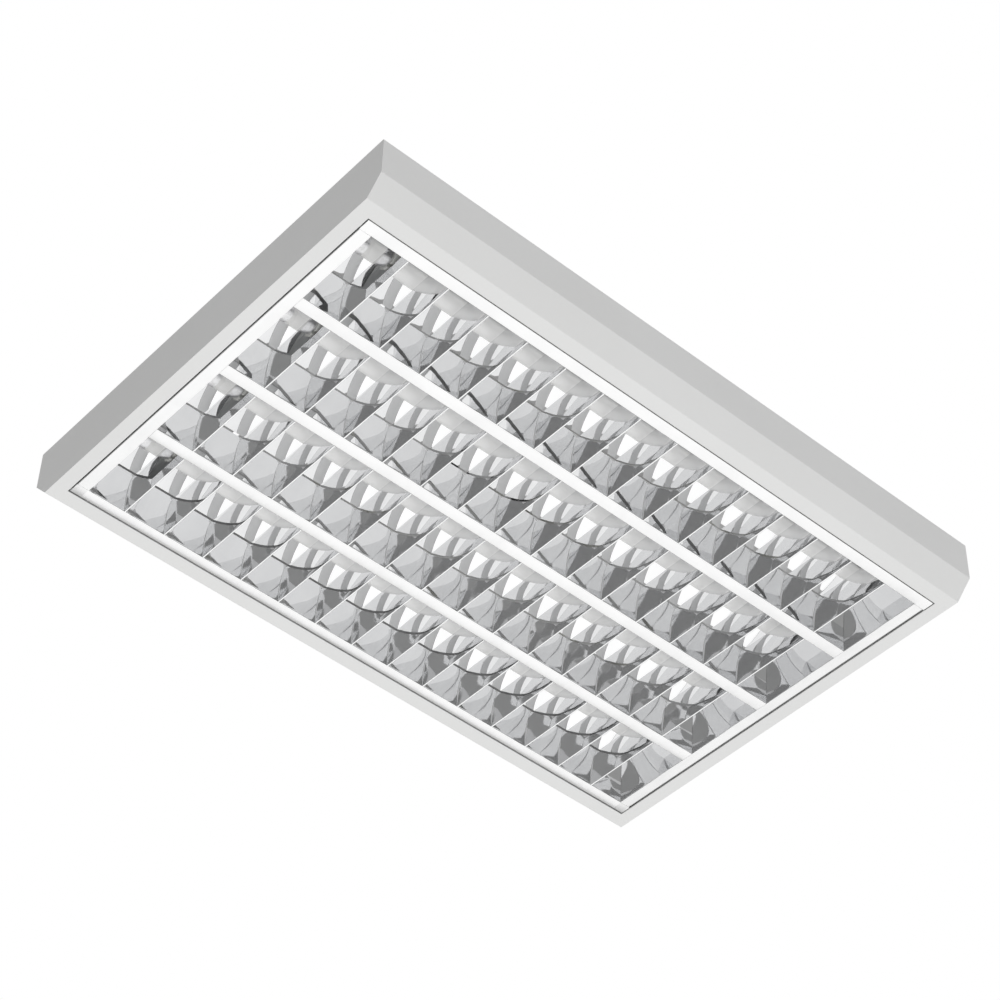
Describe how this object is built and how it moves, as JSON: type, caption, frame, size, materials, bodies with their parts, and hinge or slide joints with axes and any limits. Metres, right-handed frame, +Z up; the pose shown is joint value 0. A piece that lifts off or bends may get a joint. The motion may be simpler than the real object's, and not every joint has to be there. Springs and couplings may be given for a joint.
{
  "type": "surface-mounted louvre luminaire",
  "caption": "Flat surface-mounted ceiling light with slim fluorescent lamps in parallel rows behind a hinged mirror louvre with cross blades.",
  "frame": {"origin": "centre of the four ceiling holes, on the face that lies on the ceiling", "axes": "+X along the lamps, +Y towards the hinged long side of the louvre, +Z up into the ceiling"},
  "size_m": [0.62, 0.428, 0.054],
  "materials": {
    "housing_paint": "satin white powder coat on folded sheet steel",
    "bright_aluminium": "bright anodised mirror sheet",
    "galvanised_steel": "galvanised, dull",
    "spring_steel": "bare spring steel",
    "lamp_glass": "glass tube with white phosphor inside",
    "cap_aluminium": "plain, satin",
    "holder_plastic": "moulded, white",
    "gear_case": "white case",
    "terminal_plastic": "moulded, pale",
    "bushing_rubber": "soft, dark"
  },
  "bodies": {
    "housing": {"ballast_front": "gear_case", "ballast_rear": "gear_case", "ballast_terminals": "terminal_plastic", "cable_bushing": "bushing_rubber", "earth_tab": "galvanised_steel", "end_plate_left": "housing_paint", "end_plate_right": "housing_paint", "gear_clips": "galvanised_steel", "hinge_brackets": "galvanised_steel", "housing_body": "housing_paint", "lamp_reflector_1": "bright_aluminium", "lamp_reflector_2": "bright_aluminium", "lamp_reflector_3": "bright_aluminium", "lamp_reflector_4": "bright_aluminium", "lampholder_bracket_left": "galvanised_steel", "lampholder_bracket_right": "galvanised_steel", "lampholders_left": "holder_plastic", "lampholders_right": "holder_plastic", "latch_springs": "spring_steel", "supply_terminal": "terminal_plastic"},
    "louvre": {"centre_profile_1": "bright_aluminium", "centre_profile_2": "bright_aluminium", "centre_profile_3": "bright_aluminium", "corner_angles": "galvanised_steel", "cross_blades_1": "bright_aluminium", "cross_blades_2": "bright_aluminium", "cross_blades_3": "bright_aluminium", "cross_blades_4": "bright_aluminium", "end_reflectors_left": "bright_aluminium", "end_reflectors_right": "bright_aluminium", "frame_bar_front": "bright_aluminium", "frame_bar_left": "bright_aluminium", "frame_bar_rear": "bright_aluminium", "frame_bar_right": "bright_aluminium", "hinge_pins": "galvanised_steel"},
    "lamp_1": {"lamp_caps_1": "cap_aluminium", "lamp_tube_1": "lamp_glass"},
    "lamp_2": {"lamp_caps_2": "cap_aluminium", "lamp_tube_2": "lamp_glass"},
    "lamp_3": {"lamp_caps_3": "cap_aluminium", "lamp_tube_3": "lamp_glass"},
    "lamp_4": {"lamp_caps_4": "cap_aluminium", "lamp_tube_4": "lamp_glass"}
  },
  "joints": [
    {"name": "louvre_hinge", "type": "hinge", "parent": "housing", "child": "louvre", "pos_m": [0, 0.1817, -0.051], "axis": [1, 0, 0], "range_deg": [0, 90]},
    {"name": "lamp_1_turn", "type": "hinge", "parent": "housing", "child": "lamp_1", "pos_m": [0, -0.1347, -0.0105], "axis": [1, 0, 0], "range_deg": [0, 90]},
    {"name": "lamp_2_turn", "type": "hinge", "parent": "housing", "child": "lamp_2", "pos_m": [0, -0.0449, -0.0105], "axis": [1, 0, 0], "range_deg": [0, 90]},
    {"name": "lamp_3_turn", "type": "hinge", "parent": "housing", "child": "lamp_3", "pos_m": [0, 0.0449, -0.0105], "axis": [1, 0, 0], "range_deg": [0, 90]},
    {"name": "lamp_4_turn", "type": "hinge", "parent": "housing", "child": "lamp_4", "pos_m": [0, 0.1347, -0.0105], "axis": [1, 0, 0], "range_deg": [0, 90]}
  ]
}
